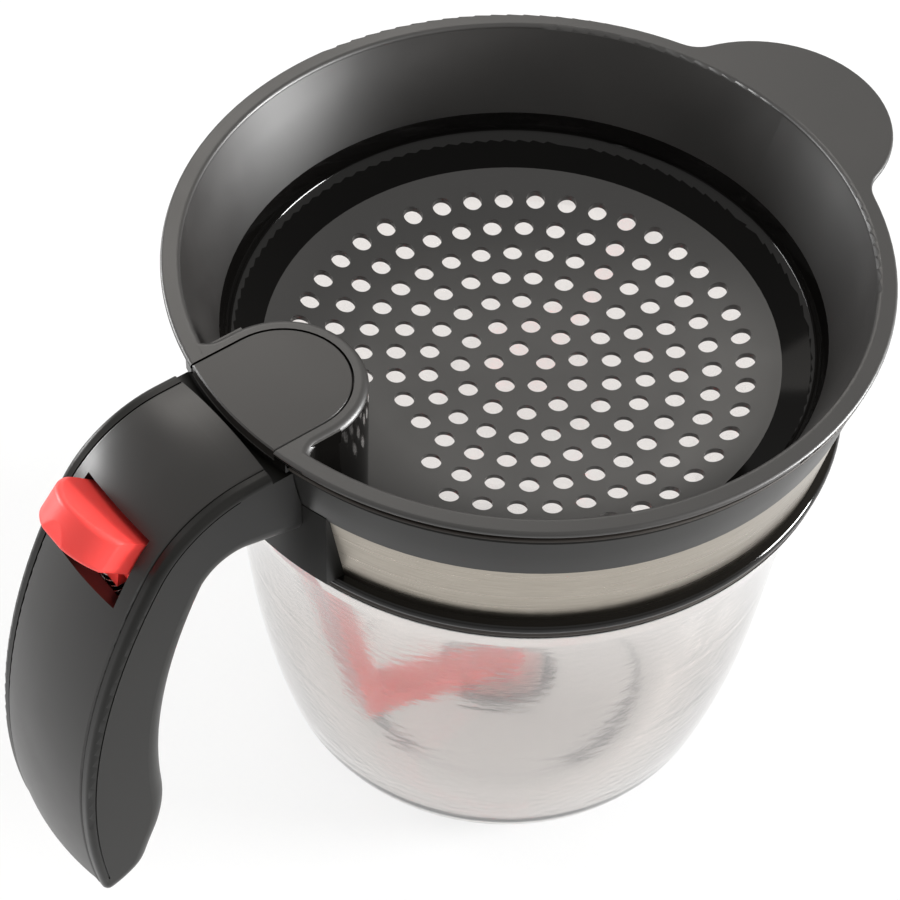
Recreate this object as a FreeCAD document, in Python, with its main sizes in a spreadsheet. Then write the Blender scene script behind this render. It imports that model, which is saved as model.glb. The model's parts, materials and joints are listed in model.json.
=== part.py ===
import FreeCAD, Part
import math
import os
import Sketcher

# Gravy fat separator with a valve in the floor of the jar.
# Frame: millimetres, +Z up, origin on the jar's axis at the plane it stands on.
# The handle points along -X and the lift tab of the strainer along +X.

V = FreeCAD.Vector
doc = FreeCAD.newDocument("FatSeparator")

# ---------------------------------------------------------------- driving sizes
sheet = doc.addObject("Spreadsheet::Sheet", "Sizes")
rows = []


class Size:
    """A length that knows its value and the sheet expression it comes from."""

    def __init__(self, value, text):
        self.value, self.text = float(value), text

    def _mix(self, other, sign, swap):
        o = other if isinstance(other, Size) else Size(other, repr(float(other)))
        a, b = (o, self) if swap else (self, o)
        value = {"+": a.value + b.value, "-": a.value - b.value, "*": a.value * b.value,
                 "/": a.value / b.value if b.value else 0.0}[sign]
        return Size(value, "(%s %s %s)" % (a.text, sign, b.text))

    def __add__(self, o): return self._mix(o, "+", False)
    def __radd__(self, o): return self._mix(o, "+", True)
    def __sub__(self, o): return self._mix(o, "-", False)
    def __rsub__(self, o): return self._mix(o, "-", True)
    def __mul__(self, o): return self._mix(o, "*", False)
    def __rmul__(self, o): return self._mix(o, "*", True)
    def __truediv__(self, o): return self._mix(o, "/", False)
    def __neg__(self): return Size(-self.value, "(-1 * %s)" % self.text)
    def __float__(self): return self.value


def size(alias, value, note):
    """One row of the sheet: note, plain number, alias."""
    rows.append(alias)
    line = len(rows)
    sheet.set("A%d" % line, note)
    sheet.set("B%d" % line, str(value))
    sheet.setAlias("B%d" % line, alias)
    return Size(value, "Sizes." + alias)


# jar
foot_radius = size("foot_radius", 39.0, "radius where the foot meets the table")
foot_ring = size("foot_ring", 4.0, "width of the standing ring")
foot_recess = size("foot_recess", 2.4, "height of the hollow under the floor")
heel_radius = size("heel_radius", 53.3, "jar radius above the rounded heel")
heel_level = size("heel_level", 11.0, "height of the top of the rounded heel")
belly_radius = size("belly_radius", 59.6, "jar radius at mid height")
belly_level = size("belly_level", 45.0, "mid height of the jar")
waist_radius = size("waist_radius", 61.5, "jar radius where the flare starts")
waist_level = size("waist_level", 66.0, "height where the flare starts")
shoulder_radius = size("shoulder_radius", 69.0, "jar radius at the shoulder")
shoulder_level = size("shoulder_level", 103.2, "height of the shoulder ledge")
jar_wall = size("jar_wall", 2.7, "wall of the jar")
neck_radius = size("neck_radius", 64.4, "outside radius of the neck")
neck_wall = size("neck_wall", 2.4, "wall of the neck")
neck_top = size("neck_top", 115.5, "height of the top of the neck")
floor_level = size("floor_level", 5.0, "inside floor at the drain")
# drain and plug
drain_bore = size("drain_bore", 6.0, "bore of the drain")
seat_radius = size("seat_radius", 9.4, "outside radius of the seat bush")
seat_flange = size("seat_flange", 14.0, "flange radius of the seat bush")
seat_top = size("seat_top", 6.2, "top of the seat bush")
plug_radius = size("plug_radius", 11.5, "radius of the plug's lip")
plug_lip = size("plug_lip", 1.4, "thickness of the plug's lip")
stem_radius = size("stem_radius", 2.2, "stem of the rod inside the plug")
# seals, ring, band and collar
seal_thick = size("seal_thick", 1.7, "grey ring between jar and base ring")
base_ring_thick = size("base_ring_thick", 2.2, "black ring under the band")
base_ring_radius = shoulder_radius + size("ring_overhang", 0.6, "how far the black ring stands proud")
bore_play = size("bore_play", 0.1, "collar bore over the neck")
band_low = size("band_low", 67.5, "outside radius of the band, lower edge")
band_high = size("band_high", 70.9, "outside radius of the band, upper edge")
band_level = size("band_level", 126.8, "height of the band's upper edge")
band_thick = size("band_thick", 0.8, "sheet thickness of the band")
collar_face = size("collar_face", 71.2, "collar radius just above the band")
collar_rim = size("collar_rim", 73.4, "collar radius at its top edge")
collar_top = size("collar_top", 139.0, "height of the collar's top edge")
collar_lip = size("collar_lip", 1.4, "thickness of the collar's top edge")
saddle_half = size("saddle_half", 22.5, "half width of the saddle block")
saddle_radius = size("saddle_radius", 71.5, "outside radius of the saddle block")
window_half = size("window_half", 7.4, "half width of the lever's window")
window_sill = size("window_sill", 124.6, "lower edge of the lever's window")
# strainer
rim_radius = size("rim_radius", 75.2, "outside radius of the lip")
rim_top = size("rim_top", 143.6, "height of the top of the lip")
lip_thick = size("lip_thick", 2.4, "height of the lip down to its seal")
lip_edge_thick = size("lip_edge_thick", 1.5, "thickness of the lip's round edge")
cone_mouth = size("cone_mouth", 71.2, "inside radius of the funnel at the lip")
cone_foot = size("cone_foot", 64.0, "inside radius where the funnel meets the bowl")
cone_level = size("cone_level", 124.0, "height where the funnel meets the bowl")
plate_radius = size("plate_radius", 55.4, "radius of the perforated floor")
plate_level = size("plate_level", 115.0, "height of the floor's edge")
plate_mid = size("plate_mid", 107.5, "height of the middle of the floor")
plate_bend = size("plate_bend", 34.2, "radius where the floor starts to rise")
wall = size("wall", 1.8, "wall of the strainer")
bowl_round = size("bowl_round", 4.0, "inside round between the floor and the bowl's wall")
floor_wall = size("floor_wall", 1.0, "thickness of the perforated floor")
hole_dia = size("hole_dia", 4.3, "diameter of a strainer hole")
hole_pitch = size("hole_pitch", 7.04, "distance from ring to ring")
hole_first = size("hole_first", 5.9, "radius of the innermost ring")
hood_middle = size("hood_middle", 61.8, "distance of the hood's round end from the axis")
hood_radius = size("hood_radius", 16.8, "radius of the hood's round end")
hood_roof = size("hood_roof", 139.6, "underside of the hood's roof")
tab_middle = size("tab_middle", 65.8, "centre of the tab's round end")
tab_radius = size("tab_radius", 27.5, "radius of the tab's round end")
tab_blend = size("tab_blend", 7.0, "radius of the hollow corners beside the tab")
tab_root = size("tab_root", 1.6, "how far the tab reaches into the lip")
cover_radius = size("cover_radius", 13.7, "radius of the D-shaped cap")
cover_thick = size("cover_thick", 2.6, "thickness of the cap")
cover_gap = size("cover_gap", 0.25, "groove round the cap")
seal_inner = size("seal_inner", 72.3, "inside radius of the strainer's seal")
seal_outer = size("seal_outer", 73.2, "outside radius of the strainer's seal")
bead_radius = size("bead_radius", 74.6, "outside radius of the seal's bead")
# handle
grip_half = size("grip_half", 16.8, "half width of the handle")
panel_half = size("panel_half", 13.9, "half width of the cover panel")
panel_thick = size("panel_thick", 2.6, "thickness of the cover panel at its edge")
panel_crown = size("panel_crown", 1.6, "rise of the cover panel in the middle")
seam = size("seam", 0.2, "seam round the cover panel")
panel_play = size("panel_play", 0.02, "play under the cover panel")
turn_x = size("turn_x", 80.74, "centre of the handle's top turn, from the axis")
turn_z = size("turn_z", 112.79, "centre of the handle's top turn, height")
turn_outer = size("turn_outer", 27.28, "outer radius of the top turn")
turn_inner = size("turn_inner", 8.42, "inner radius of the top turn")
back_radius = size("back_radius", 128.41, "outer radius of the long grip")
grip_wall = size("grip_wall", 2.8, "wall of the handle")
# lever, pin, rod
pivot_x = size("pivot_x", 86.0, "pivot's distance from the axis")
pivot_z = size("pivot_z", 130.5, "pivot's height")
pin_radius = size("pin_radius", 2.0, "pivot pin")
pin_play = size("pin_play", 0.05, "play round a pin")
hub_radius = size("hub_radius", 5.2, "lever's hub")
hub_half = size("hub_half", 5.4, "half width of the lever's hub")
arm_half = size("arm_half", 3.0, "half width of the lever's inner arm")
button_half = size("button_half", 10.2, "half width of the thumb button")
slot_play = size("slot_play", 0.4, "gap beside the button in its slot")
rod_x = size("rod_x", 57.0, "rod's distance from the axis at the top")
rod_thick = size("rod_thick", 5.0, "thickness of the rod")
rod_half = size("rod_half", 4.5, "half width of the rod")
rod_eye = size("rod_eye", 130.5, "height of the rod's pin")
rod_pin_radius = size("rod_pin_radius", 1.5, "rod's pin")
fork_half = size("fork_half", 6.0, "half width over the rod's fork")
spring_x = size("spring_x", 102.7, "spring's distance from the axis")
spring_foot = size("spring_foot", 108.5, "height of the spring's lower end")
spring_head = size("spring_head", 117.5, "height of the spring's upper end")
spring_mean = size("spring_mean", 2.55, "mean radius of the spring")
wire = size("wire", 0.6, "diameter of the spring wire")
doc.recompute()

base_level = shoulder_level + seal_thick          # underside of the black ring
band_foot = base_level + base_ring_thick          # lower edge of the band
lip_under = rim_top - lip_thick
cover_floor = rim_top - cover_thick


# ---------------------------------------------------------------- helpers
def body(label):
    b = doc.addObject("PartDesign::Body", label)
    b.Label = label
    b.Placement = FreeCAD.Placement()
    return b


def origin_plane(b, role):
    for f in b.Origin.OriginFeatures:
        if f.Role == role:
            return f


def sketch(b, role, name, lift=None):
    """A sketch on one of the body's own planes, lifted along its normal."""
    sk = b.newObject("Sketcher::SketchObject", name)
    sk.AttachmentSupport = [(origin_plane(b, role), "")]
    sk.MapMode = "FlatFace"
    if lift is not None:
        sk.AttachmentOffset = FreeCAD.Placement(V(0, 0, float(lift)), FreeCAD.Rotation())
        if isinstance(lift, Size):
            sk.setExpression("AttachmentOffset.Base.z", lift.text)
    return sk


def hold(sk, geo, pos, x, y):
    """Tie one point of a sketch to its two coordinates."""
    for kind, axis, c in (("DistanceX", -2, x), ("DistanceY", -1, y)):
        if abs(float(c)) < 1e-9:
            sk.addConstraint(Sketcher.Constraint("PointOnObject", geo, pos, axis))
            continue
        k = sk.addConstraint(Sketcher.Constraint(kind, -1, 1, geo, pos, float(c)))
        if isinstance(c, Size):
            sk.setExpression("Constraints[%d]" % k, c.text)


def outline(sk, points):
    """Closed profile through points; ("arc", x, y) between two points is a mid point of an arc."""
    corners, mids = [], {}
    for p in points:
        if p[0] == "arc":
            mids[len(corners) - 1] = (float(p[1]), float(p[2]))
        else:
            corners.append(p)
    n, first = len(corners), sk.GeometryCount
    ends = []
    for i in range(n):
        a, c = corners[i], corners[(i + 1) % n]
        pa, pc = V(float(a[0]), float(a[1]), 0), V(float(c[0]), float(c[1]), 0)
        if i in mids:
            pm = V(mids[i][0], mids[i][1], 0)
            left = (pm - pa).cross(pc - pm).z > 0           # an arc is drawn anticlockwise
            sk.addGeometry(Part.Arc(pa, pm, pc) if left else Part.Arc(pc, pm, pa))
            ends.append((1, 2) if left else (2, 1))
        else:
            sk.addGeometry(Part.LineSegment(pa, pc))
            ends.append((1, 2))
    for i in range(n):
        j = (i + 1) % n
        sk.addConstraint(Sketcher.Constraint("Coincident", first + i, ends[i][1],
                                             first + j, ends[j][0]))
        hold(sk, first + i, ends[i][0], corners[i][0], corners[i][1])
    return sk


def circle(sk, x, y, r):
    g = sk.addGeometry(Part.Circle(V(float(x), float(y), 0), V(0, 0, 1), float(r)))
    k = sk.addConstraint(Sketcher.Constraint("Radius", g, float(r)))
    if isinstance(r, Size):
        sk.setExpression("Constraints[%d]" % k, r.text)
    hold(sk, g, 3, x, y)
    return sk


def pad(b, sk, length, name, both=True, back=False, cut=False):
    kind = "PartDesign::Pocket" if cut else "PartDesign::Pad"
    p = b.newObject(kind, name)
    p.Profile = sk
    p.Type = "Length"
    if both:
        p.SideType = "Symmetric"
    p.Length = float(length)
    if isinstance(length, Size):
        p.setExpression("Length", length.text)
    p.Reversed = back
    b.Tip = p
    return p


def turn(b, sk, name, cut=False):
    r = b.newObject("PartDesign::Groove" if cut else "PartDesign::Revolution", name)
    r.Profile = sk
    r.ReferenceAxis = (sk, ["V_Axis"])
    r.Angle = 360
    b.Tip = r
    return r


def dress(b, kind, name, names, amount):
    """Fillet or chamfer on named edges or faces of the body's last feature."""
    last = b.Tip
    d = b.newObject("PartDesign::" + kind, name)
    d.Base = (last, names)
    if kind == "Fillet":
        d.Radius = float(amount)
    else:
        d.Size = amount
    b.Tip = d
    return d


def tangent(p, heading, q):
    """Mid point of the arc that leaves p along heading (degrees) and ends at q, and its end heading."""
    px, py, qx, qy = float(p[0]), float(p[1]), float(q[0]), float(q[1])
    chord = math.atan2(qy - py, qx - px)
    half = chord - math.radians(heading)
    while half > math.pi:
        half -= 2 * math.pi
    while half < -math.pi:
        half += 2 * math.pi
    span = math.hypot(qx - px, qy - py)
    sag = span / 2 * math.tan(half / 2)
    mx, my = (px + qx) / 2 + sag * math.sin(chord), (py + qy) / 2 - sag * math.cos(chord)
    return ("arc", mx, my), math.degrees(chord + half)


def smooth(heading, points):
    """Points joined by arcs, each tangent to the one before."""
    out = [points[0]]
    for p, q in zip(points[:-1], points[1:]):
        mid, heading = tangent(p, heading, q)
        out += [mid, q]
    return out, heading


def parallel(heading, points, depth, share):
    """The arcs of smooth() laid depth to their left; the last one runs on for a share of its length."""
    def aside(p, angle):
        turn_to = math.radians(angle)
        return (p[0] - depth * math.sin(turn_to), p[1] + depth * math.cos(turn_to))

    def along(p, q, start, turned, part):
        """A point a part of the way along the arc from p to q, and the heading there."""
        full = turned - start
        grow = math.sin(math.radians(part * full / 2)) / math.sin(math.radians(full / 2))
        swing = math.radians((part - 1.0) * full / 2)
        dx, dz = q[0] - p[0], q[1] - p[1]
        return (p[0] + (dx * math.cos(swing) - dz * math.sin(swing)) * grow,
                p[1] + (dx * math.sin(swing) + dz * math.cos(swing)) * grow), start + part * full

    out = [aside(points[0], heading)]
    for p, q in zip(points[:-1], points[1:]):
        _, turned = tangent(p, heading, q)
        part = share if q is points[-1] else 1.0
        middle, middle_heading = along(p, q, heading, turned, part / 2)
        end, end_heading = along(p, q, heading, turned, part)
        out += [("arc",) + aside(middle, middle_heading), aside(end, end_heading)]
        heading = turned
    return out


def around(r, angle):
    return (r * math.cos(math.radians(angle)), r * math.sin(math.radians(angle)))


def boolean(kind, label, base, tool):
    o = doc.addObject("Part::" + kind, label)
    o.Base, o.Tool = base, tool
    o.Label = label
    return o


def block(name, x0, x1, half, z0, z1):
    """A Part::Box symmetric about the XZ plane, its sizes tied to the sheet."""
    o = doc.addObject("Part::Box", name)
    pairs = (("Length", x1 - x0), ("Width", half * 2), ("Height", z1 - z0),
             ("Placement.Base.x", x0), ("Placement.Base.y", half * -1), ("Placement.Base.z", z0))
    o.Placement = FreeCAD.Placement(V(float(x0), -float(half), float(z0)), FreeCAD.Rotation())
    for prop, value in pairs:
        if "." not in prop:
            setattr(o, prop, float(value))
        if isinstance(value, Size):
            o.setExpression(prop, value.text)
    return o


def rod_along_y(name, x, z, r, half):
    """A Part::Cylinder across the handle."""
    o = doc.addObject("Part::Cylinder", name)
    o.Radius, o.Height = float(r), 2 * float(half)
    o.setExpression("Radius", r.text)
    o.setExpression("Height", (half * 2).text)
    o.Placement = FreeCAD.Placement(V(float(x), float(half), float(z)), FreeCAD.Rotation(V(1, 0, 0), 90))
    o.setExpression("Placement.Base.x", x.text)
    o.setExpression("Placement.Base.y", half.text)
    o.setExpression("Placement.Base.z", z.text)
    return o


# ---------------------------------------------------------------- jar
# One clear moulding: standing ring, rounded heel, slightly conical belly that flares to a shoulder,
# and a narrower neck above the shoulder that the collar is bonded round.
jar = body("jar")
skin = [(foot_radius, Size(0.0, "0")), (heel_radius, heel_level), (belly_radius, belly_level),
        (waist_radius, waist_level), (shoulder_radius, shoulder_level)]
outer, out_heading = smooth(0.0, skin)
neck_in = neck_radius - neck_wall
INSIDE_SHARE = 0.8
inner = parallel(0.0, skin, jar_wall, INSIDE_SHARE)[2:]
floor_corner = (foot_radius - 1.5, floor_level)
heel_turn, _ = tangent(floor_corner, 0.0, inner[0])
inner = [(seat_flange + 1.5, floor_level), floor_corner, heel_turn] + inner
under_shoulder = shoulder_level - jar_wall
profile = [(seat_radius, foot_recess), (foot_radius - foot_ring - 1.5, foot_recess),
           (foot_radius - foot_ring, 0)] + outer
profile += [(neck_radius, shoulder_level), (neck_radius, neck_top), (neck_in, neck_top),
            (neck_in, under_shoulder + 1.0), ("arc", neck_in + 0.29, under_shoulder + 0.29),
            (neck_in + 1.0, under_shoulder), (neck_in + 1.6, under_shoulder),
            ("arc", inner[-1][0] - 0.4, under_shoulder - 0.9)]
profile += inner[::-1] + [(seat_radius, floor_level)]
turn(jar, outline(sketch(jar, "XZ_Plane", "jar_profile"), profile), "jar_turned")

# drain_seat: bush pressed into the floor, with a flange inside and a conical mouth
drain_seat = body("drain_seat")
turn(drain_seat, outline(sketch(drain_seat, "XZ_Plane", "seat_profile"), [
    (drain_bore, foot_recess - 1.2), (seat_radius, foot_recess - 1.2), (seat_radius, floor_level),
    (seat_flange, floor_level), (seat_flange, seat_top - 0.3), (seat_flange - 0.4, seat_top),
    (drain_bore + 1.8, seat_top), (drain_bore, seat_top - 2.4)]), "seat_turned")

# ---------------------------------------------------------------- valve plug, washer and rod
valve_plug = body("valve_plug")
turn(valve_plug, outline(sketch(valve_plug, "XZ_Plane", "plug_profile"), [
    (stem_radius, seat_top - 3.0), (drain_bore - 0.9, seat_top - 3.0), (drain_bore - 0.5, seat_top - 2.0),
    (drain_bore + 0.9, seat_top), (plug_radius, seat_top), (plug_radius, seat_top + plug_lip * 0.5),
    (plug_radius - 0.7, seat_top + plug_lip), (stem_radius, seat_top + plug_lip)]), "plug_turned")

plug_washer = body("plug_washer")
turn(plug_washer, outline(sketch(plug_washer, "XZ_Plane", "washer_profile"), [
    (stem_radius, seat_top - 3.6), (stem_radius * 2, seat_top - 3.6), (stem_radius * 2, seat_top - 3.0),
    (stem_radius, seat_top - 3.0)]), "washer_turned")

# valve_rod: fork at the top, straight part through the guide, leg leaning in along the jar, foot to the
# middle of the floor and a stem through the plug
rod_bend = Size(110.4, "110.4")
elbow_x, elbow_z = Size(40.5, "40.5"), Size(24.0, "24")
rod_out, rod_in = -(rod_x + rod_thick / 2), -(rod_x - rod_thick / 2)
plug_top = seat_top + plug_lip
valve_rod = body("valve_rod")
pad(valve_rod, outline(sketch(valve_rod, "XZ_Plane", "leg_profile"), [
    (rod_out, rod_bend), (rod_out, rod_eye - 4.6), (rod_in, rod_eye - 4.6), (rod_in, rod_bend),
    (-(elbow_x - 2.4), elbow_z + 1.6), (-6, plug_top + 6.4), (4.5, plug_top + 6.4), (4.5, plug_top + 0.6),
    (-6, plug_top + 0.6), (-(elbow_x - 0.5), elbow_z - 5.2), (-(elbow_x + 2.0), elbow_z - 3.6)]),
    rod_half * 2, "leg")
pad(valve_rod, outline(sketch(valve_rod, "XZ_Plane", "fork_profile"), [
    (rod_out, rod_eye - 6.4), (rod_out, rod_eye + 1.6), ("arc", -rod_x, rod_eye + 3.0),
    (rod_in, rod_eye + 1.6), (rod_in, rod_eye - 6.4)]), fork_half * 2, "fork")
pad(valve_rod, outline(sketch(valve_rod, "XZ_Plane", "fork_gap"), [
    (rod_out - 1, rod_eye - 4.2), (rod_in + 1, rod_eye - 4.2), (rod_in + 1, rod_eye + 6),
    (rod_out - 1, rod_eye + 6)]), arm_half * 2 + 0.3, "fork_slot", cut=True)
pad(valve_rod, circle(sketch(valve_rod, "XZ_Plane", "eye"), -rod_x, rod_eye, rod_pin_radius),
    fork_half * 2 + 2, "eye_bore", cut=True)
turn(valve_rod, outline(sketch(valve_rod, "XZ_Plane", "boss_profile"), [
    (0, seat_top - 4.6), (stem_radius + 0.8, seat_top - 4.6), (stem_radius + 0.8, seat_top - 3.6),
    (stem_radius, seat_top - 3.6), (stem_radius, plug_top), (6.4, plug_top), (6.4, plug_top + 6.0),
    (5.4, plug_top + 7.0), (0, plug_top + 7.0)]), "boss")

rod_pin = body("rod_pin")
pad(rod_pin, circle(sketch(rod_pin, "XZ_Plane", "rod_pin_round"), -rod_x, rod_eye, rod_pin_radius),
    fork_half * 2, "rod_pin_length")

# ---------------------------------------------------------------- rings under the collar, and the band
collar_seal = body("collar_seal")
turn(collar_seal, outline(sketch(collar_seal, "XZ_Plane", "collar_seal_profile"), [
    (neck_radius, shoulder_level), (shoulder_radius - 0.2, shoulder_level),
    (shoulder_radius + 0.1, shoulder_level + seal_thick / 2), (shoulder_radius - 0.2, base_level),
    (neck_radius, base_level)]), "collar_seal_turned")

collar_base_ring = body("collar_base_ring")
turn(collar_base_ring, outline(sketch(collar_base_ring, "XZ_Plane", "base_ring_profile"), [
    (neck_radius, base_level), (base_ring_radius - 0.5, base_level),
    ("arc", base_ring_radius, base_level + base_ring_thick / 2), (base_ring_radius - 0.5, band_foot),
    (neck_radius, band_foot)]), "base_ring_turned")

# collar: bonded round the neck, its inside follows the funnel; a step holds the steel band; the saddle
# block on the handle side fills the band's opening
band_in_low, band_in_high = band_low - band_thick, band_high - band_thick
bore = neck_radius + bore_play
collar_ring = body("collar_ring")
turn(collar_ring, outline(sketch(collar_ring, "XZ_Plane", "collar_profile"), [
    (bore, band_foot), (band_in_low, band_foot), (band_in_high, band_level), (collar_face, band_level),
    ("arc", 72.6, 133.5), (collar_rim, collar_top - 0.6), (collar_rim - 0.5, collar_top),
    (collar_rim - collar_lip, collar_top), (cone_foot + 2.6, cone_level - 0.6), (bore, neck_top + 0.6)]),
    "collar_turned")
saddle_disc = body("saddle_disc")
turn(saddle_disc, outline(sketch(saddle_disc, "XZ_Plane", "saddle_profile"), [
    (band_in_low - 1.0, band_foot), (saddle_radius, band_foot), (saddle_radius, band_level + 0.8),
    (band_in_high - 1.0, band_level + 0.8)]), "saddle_turned")
saddle = boolean("Common", "saddle", saddle_disc,
                 block("saddle_box", -(saddle_radius + 4), Size(-50, "-50"), saddle_half, band_foot,
                       band_level + 4))
collar_whole = boolean("Fuse", "collar_whole", collar_ring, saddle)
window = block("window", Size(-80, "-80"), Size(-58, "-58"), window_half, window_sill, collar_top + 5)


def bores(name, x0, length, y, z, r):
    """Two round bores along X, mirrored about the XZ plane, as one tool."""
    pair = []
    for side in (1, -1):
        o = doc.addObject("Part::Cylinder", name + ("_a" if side > 0 else "_b"))
        o.Radius, o.Height = float(r), float(length)
        if isinstance(r, Size):
            o.setExpression("Radius", r.text)
        o.Placement = FreeCAD.Placement(V(x0, side * y, z), FreeCAD.Rotation(V(0, 1, 0), -90))
        pair.append(o)
    return boolean("Fuse", name, pair[0], pair[1])


screw_radius = size("screw_radius", 1.5, "shank of the handle screws")
screw_head = size("screw_head", 2.8, "head of the handle screws")
screw_y, screw_z = 10.8, 131.0
guide_y, guide_z = 10.4, 119.6
doc.recompute()
collar_open = boolean("Cut", "collar_open", collar_whole, window)
collar_drilled = boolean("Cut", "collar_drilled", collar_open,
                         bores("handle_screw_bores", -60.0, 30.0, screw_y, screw_z, screw_radius))
collar_sunk = boolean("Cut", "collar_sunk", collar_drilled,
                      bores("handle_screw_seats", -60.0, 9.6, screw_y, screw_z, screw_head + 0.2))
collar = boolean("Cut", "collar", collar_sunk,
                 bores("guide_screw_bores", -60.0, 9.6, guide_y, guide_z, Size(1.1, "1.1")))

band_ring = body("band_ring")
turn(band_ring, outline(sketch(band_ring, "XZ_Plane", "band_profile"), [
    (band_in_low, band_foot), (band_low, band_foot), (band_high, band_level), (band_in_high, band_level)]),
    "band_turned")
collar_band = boolean("Cut", "collar_band", band_ring,
                      block("band_opening", -(saddle_radius + 4), Size(-50, "-50"), saddle_half + 0.15,
                            band_foot - 1, band_level + 1))

# ---------------------------------------------------------------- strainer
# Funnel and bowl share one wall. The floor is dished: nearly flat in the middle, rising to its edge. From
# there it runs on straight, turns up in a tight round and meets the funnel as a steep wall.
rise, tilt = smooth(0.0, [(0, plate_mid), (plate_bend, plate_mid + 1.6), (plate_radius, plate_level)])
WALL_TILT = 78.0
tilt_slope, wall_lean = math.tan(math.radians(tilt)), 1.0 / math.tan(math.radians(WALL_TILT))
corner_x = ((cone_foot - (cone_level - plate_level + plate_radius * tilt_slope) * wall_lean) /
            (1.0 - tilt_slope * wall_lean))
corner_z = plate_level + (corner_x - plate_radius) * tilt_slope
reach = bowl_round * math.tan(math.radians((WALL_TILT - tilt) / 2))


def bowl_turn(out):
    """The turn from the floor to the bowl's wall, its corners moved out by the wall's thickness."""
    low, high = math.radians(tilt), math.radians(WALL_TILT)
    middle = math.radians((tilt + WALL_TILT) / 2)
    far = bowl_round / math.cos((high - low) / 2) - bowl_round
    return [(corner_x - reach * math.cos(low) + out * math.sin(low),
             corner_z - reach * math.sin(low) - out * math.cos(low)),
            ("arc", corner_x - (far - out) * math.sin(middle), corner_z + (far - out) * math.cos(middle)),
            (corner_x + reach * math.cos(high) + out * math.sin(high),
             corner_z + reach * math.sin(high) - out * math.cos(high))]


rise += bowl_turn(Size(0.0, "0")) + [(cone_foot, cone_level)]
under, _ = smooth(0.0, [(0, plate_mid - floor_wall), (plate_bend + 0.1, plate_mid + 1.6 - floor_wall),
                        (plate_radius + wall * 0.45, plate_level - wall * 0.88)])
under += bowl_turn(wall) + [(cone_foot + wall * 0.98, cone_level - wall * 0.2)]
slope = (cone_mouth - cone_foot) / (rim_top - cone_level)
cone_out = cone_mouth + wall * 1.065 - slope * lip_thick
shell = body("shell")
edge_round = lip_edge_thick / 2
lip_edge = [(cone_out, lip_under), (seal_outer + 0.2, lip_under), (seal_outer + 0.2, rim_top - lip_edge_thick),
            (rim_radius - edge_round, rim_top - lip_edge_thick), ("arc", rim_radius, rim_top - edge_round),
            (rim_radius - edge_round, rim_top), (cone_mouth + 0.9, rim_top),
            ("arc", cone_mouth + 0.14, rim_top - 0.2), (cone_mouth - 0.24, rim_top - 0.9)]
turn(shell, outline(sketch(shell, "XZ_Plane", "shell_profile"), under + lip_edge + rise[::-1]), "shell_turned")

# seven rings of holes; the three outer rings stop short of the hood
ring_plan = [(1, 5, 0, -18.5), (2, 11, 0, 7.9), (3, 18, 0, 10.0), (4, 24, 0, 0.0), (5, 30, 3, 6.0),
             (6, 36, 6, 0.0), (7, 42, 8, 4.286)]
for number, count, missing, phase in ring_plan:
    radius = hole_first + hole_pitch * (number - 1)
    step = 360.0 / count
    start, kept = phase, count - missing
    if missing:
        # first hole past the hood, counted from the handle's side
        start = phase + step * math.ceil((-180.0 + step * (missing / 2.0 - 0.25) - phase) / step)
    x, y = around(float(radius), start)
    sk = shell.newObject("Sketcher::SketchObject", "hole_%d" % number)
    sk.AttachmentSupport = [(origin_plane(shell, "XY_Plane"), "")]
    sk.MapMode = "FlatFace"
    sk.AttachmentOffset = FreeCAD.Placement(V(0, 0, 100.0), FreeCAD.Rotation(V(0, 0, 1), start))
    circle(sk, radius, 0, hole_dia / 2)
    pocket = pad(shell, sk, Size(25.0, "25"), "hole_cut_%d" % number, both=False, back=True, cut=True)
    doc.recompute()
    pattern = shell.newObject("PartDesign::PolarPattern", "hole_ring_%d" % number)
    pattern.Originals = [pocket]
    pattern.Axis = (sk, ["N_Axis"])
    pattern.Angle = 360.0 if not missing else step * (kept - 1)
    pattern.Occurrences = kept
    shell.Tip = pattern
    doc.recompute()
    print("ring", number, "holes", kept, "volume", round(shell.Shape.Volume, 1))

# hood over the lever on the handle side: outside follows a D in plan and flares into the funnel wall
hx, hr = -hood_middle, hood_radius


def dee(b, name, radius, mouth, flare, z0, height, label):
    """A D-shaped prism with its round end at the hood's middle and its straight sides running outwards."""
    sk = sketch(b, "XY_Plane", name, z0)
    if flare:
        pts = [(hx, -radius), ("arc", hx + radius, 0), (hx, radius), (hx - 3.6, radius),
               ("arc", hx - 3.6 - flare * 0.7, radius + flare * 0.3), (hx - 3.6 - flare, radius + flare),
               (-mouth, radius + flare), (-mouth, -radius - flare), (hx - 3.6 - flare, -radius - flare),
               ("arc", hx - 3.6 - flare * 0.7, -radius - flare * 0.3), (hx - 3.6, -radius)]
    else:
        pts = [(hx, -radius), ("arc", hx + radius, 0), (hx, radius), (-mouth, radius), (-mouth, -radius)]
    outline(sk, pts)
    return pad(b, sk, height, label, both=False)


hood_block = body("hood_block")
dee(hood_block, "hood_plan", hr, Size(90.0, "90"), 4.0, Size(100.0, "100"), rim_top - 100.0, "hood_raised")
doc.recompute()
crest = ["Edge%d" % (i + 1) for i, e in enumerate(hood_block.Shape.Edges)
         if e.BoundBox.ZMin > float(rim_top) - 0.01 and e.BoundBox.XMax > -float(rim_radius)]
dress(hood_block, "Fillet", "hood_crest", crest, 1.6)
envelope = body("envelope")
turn(envelope, outline(sketch(envelope, "XZ_Plane", "envelope_profile"),
                       under + lip_edge[:7] + [(0, rim_top)]), "envelope_turned")
hood = boolean("Common", "hood", hood_block, envelope)
brow_disc = body("brow_disc")
turn(brow_disc, outline(sketch(brow_disc, "XZ_Plane", "brow_profile"), [
    (60, hood_roof), (rim_radius - 0.2, hood_roof), (rim_radius - 0.2, rim_top - lip_edge_thick / 3),
    (60, rim_top - lip_edge_thick / 3)]),
    "brow_turned")
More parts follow.
